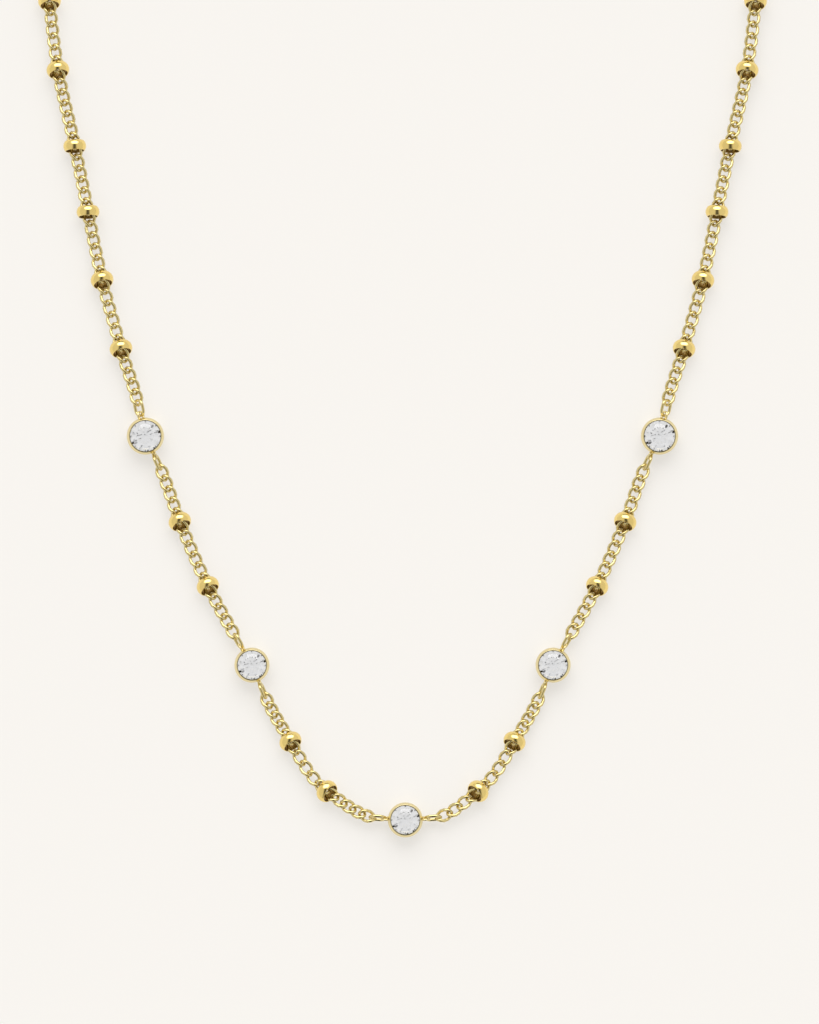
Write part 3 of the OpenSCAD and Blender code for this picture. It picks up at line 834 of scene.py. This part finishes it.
def studio_light(scene, stage):
    """A dim room: a wide bright window beyond the clasp, paler walls at both sides."""
    scene.world = scene.world or bpy.data.worlds.new("studio")
    scene.world.use_nodes = True
    tree = scene.world.node_tree
    w = Wiring(tree)
    sky = tree.nodes["Background"]
    outwards = w.node("ShaderNodeTexCoord").outputs["Generated"]
    x, y, _ = w.node("ShaderNodeSeparateXYZ", Vector=outwards).outputs

    def ramp(value, gone, full, strength):
        made = w.node("ShaderNodeMapRange", [("interpolation_type", "SMOOTHSTEP")], Value=value,
                      From_Min=gone, From_Max=full, To_Min=0.0, To_Max=strength)
        return made.outputs[0]

    # The window is an oval about its middle, wide from side to side
    low, high = math.sin(stage.window_turn), math.cos(stage.window_turn)
    facing = w.math("DOT_PRODUCT", outwards, (0.0, low, high), kind="ShaderNodeVectorMath")
    off = w.math("DOT_PRODUCT", outwards, (0.0, high, -low), kind="ShaderNodeVectorMath")
    across = w.math("DIVIDE", x, math.sin(stage.window_width / 2))
    along = w.math("DIVIDE", off, math.sin(stage.window_height / 2))
    span = w.math("SQRT", w.math(
        "ADD", w.math("MULTIPLY", across, across), w.math("MULTIPLY", along, along)))
    window = w.math("MULTIPLY", ramp(span, 1.25, 0.6, stage.window), ramp(facing, 0.0, 0.1, 1.0))
    walls = ramp(w.math("ABSOLUTE", x), 0.08, 0.45, stage.walls)
    total = w.math("ADD", w.math("ADD", window, walls), stage.room)
    # Light that has come through a stone is taken from a paler room, with the camera's own shade
    path = w.node("ShaderNodeLightPath").outputs
    beside = w.math("ABSOLUTE", w.math("SUBTRACT", x, 0.2))
    shade = w.math("MULTIPLY", ramp(beside, 0.2, 0.13, 0.8), ramp(y, -0.15, -0.25, 1.0))
    tone = w.math("ADD", ramp(y, -0.7, 0.7, 0.16), 0.8)
    pale = w.math("MULTIPLY", w.math("SUBTRACT", tone, shade), stage.sparkle)
    for told, value in ((path["Is Transmission Ray"], pale), (path["Is Camera Ray"], 0.9)):
        choice = w.node("ShaderNodeMix", [("data_type", "FLOAT")])
        for k, given in ((0, told), (2, total), (3, value)):
            w.feed(choice.inputs[k], given)
        total = choice.outputs[0]
    w.feed(sky.inputs["Strength"], total)
    sky.inputs["Color"].default_value = (1.0, 0.985, 0.96, 1)


class NECKLACE_OT_stage(bpy.types.Operator):
    """Sets the pale floor, the studio light and the camera"""
    bl_idname = "necklace.stage"
    bl_label = "Stage"

    def execute(self, context):
        stage = context.scene.necklace_stage
        mesh = bpy.data.meshes.new("floor")
        corners = [
            (x * FLOOR_REACH, y * FLOOR_REACH, -FLOOR_BELOW)
            for x, y in ((-1, -1), (1, -1), (1, 1), (-1, 1))]
        mesh.from_pydata(corners, [], [(0, 1, 2, 3)])
        floor = bpy.data.objects.new("floor", mesh)
        context.scene.collection.objects.link(floor)
        paper = bpy.data.materials.new("floor_paper")
        paper.use_nodes = True
        w = Wiring(paper.node_tree)
        shader = paper.node_tree.nodes["Principled BSDF"]
        grain = w.node("ShaderNodeTexNoise", Vector=w.node("ShaderNodeTexCoord").outputs["Object"],
                       Scale=900.0, Detail=3.0)
        relief = w.node("ShaderNodeBump", Strength=0.05, Distance=0.00002, Height=grain.outputs["Fac"])
        w.feed(shader.inputs["Normal"], relief.outputs[0])
        shader.inputs["Base Color"].default_value = (*(stage.bounce * part for part in stage.floor), 1)
        shader.inputs["Roughness"].default_value = 0.9
        shader.inputs["Specular IOR Level"].default_value = 0.0
        shader.inputs["Emission Color"].default_value = (*stage.floor, 1)
        shader.inputs["Emission Strength"].default_value = stage.table_light
        mesh.materials.append(paper)

        studio_light(context.scene, stage)

        camera = bpy.data.cameras.new("camera")
        camera.sensor_fit = "VERTICAL"
        camera.sensor_height = 24.0
        camera.lens = camera.sensor_height * stage.camera_height / VIEW_HEIGHT
        eye = bpy.data.objects.new("camera", camera)
        eye.location = (VIEW_X, VIEW_Y, stage.camera_height)
        context.scene.collection.objects.link(eye)
        context.scene.camera = eye
        context.scene.view_settings.view_transform = "Standard"
        return {"FINISHED"}


class NECKLACE_PT_panel(bpy.types.Panel):
    """Lists the pieces in the sidebar"""
    bl_idname = "NECKLACE_PT_panel"
    bl_label = "Crystal Necklace"
    bl_space_type = "VIEW_3D"
    bl_region_type = "UI"
    bl_category = "Necklace"

    def draw(self, context):
        for group in ("necklace_chain", "necklace_finish", "necklace_stage"):
            box = self.layout.box()
            values = getattr(context.scene, group)
            for name in values.__annotations__:
                box.prop(values, name)
        for operator in OPERATORS:
            self.layout.operator(operator.bl_idname)


GROUPS = (
    (NecklaceChain, "necklace_chain"),
    (NecklaceFinish, "necklace_finish"),
    (NecklaceStage, "necklace_stage"),
)
OPERATORS = (
    NECKLACE_OT_chain, NECKLACE_OT_beads, NECKLACE_OT_bezels, NECKLACE_OT_rings, NECKLACE_OT_stones,
    NECKLACE_OT_clasp, NECKLACE_OT_stage)


def register():
    for group, name in GROUPS:
        bpy.utils.register_class(group)
        setattr(bpy.types.Scene, name, PointerProperty(type=group))
    for made in (*OPERATORS, NECKLACE_PT_panel):
        bpy.utils.register_class(made)


def unregister():
    for made in (NECKLACE_PT_panel, *OPERATORS[::-1]):
        bpy.utils.unregister_class(made)
    for group, name in GROUPS[::-1]:
        delattr(bpy.types.Scene, name)
        bpy.utils.unregister_class(group)


def main():
    register()
    bpy.ops.necklace.chain()
    bpy.ops.necklace.beads()
    bpy.ops.necklace.bezels()
    bpy.ops.necklace.rings()
    bpy.ops.necklace.stones()
    bpy.ops.necklace.clasp()
    bpy.ops.necklace.stage()


if __name__ == "__main__":
    main()
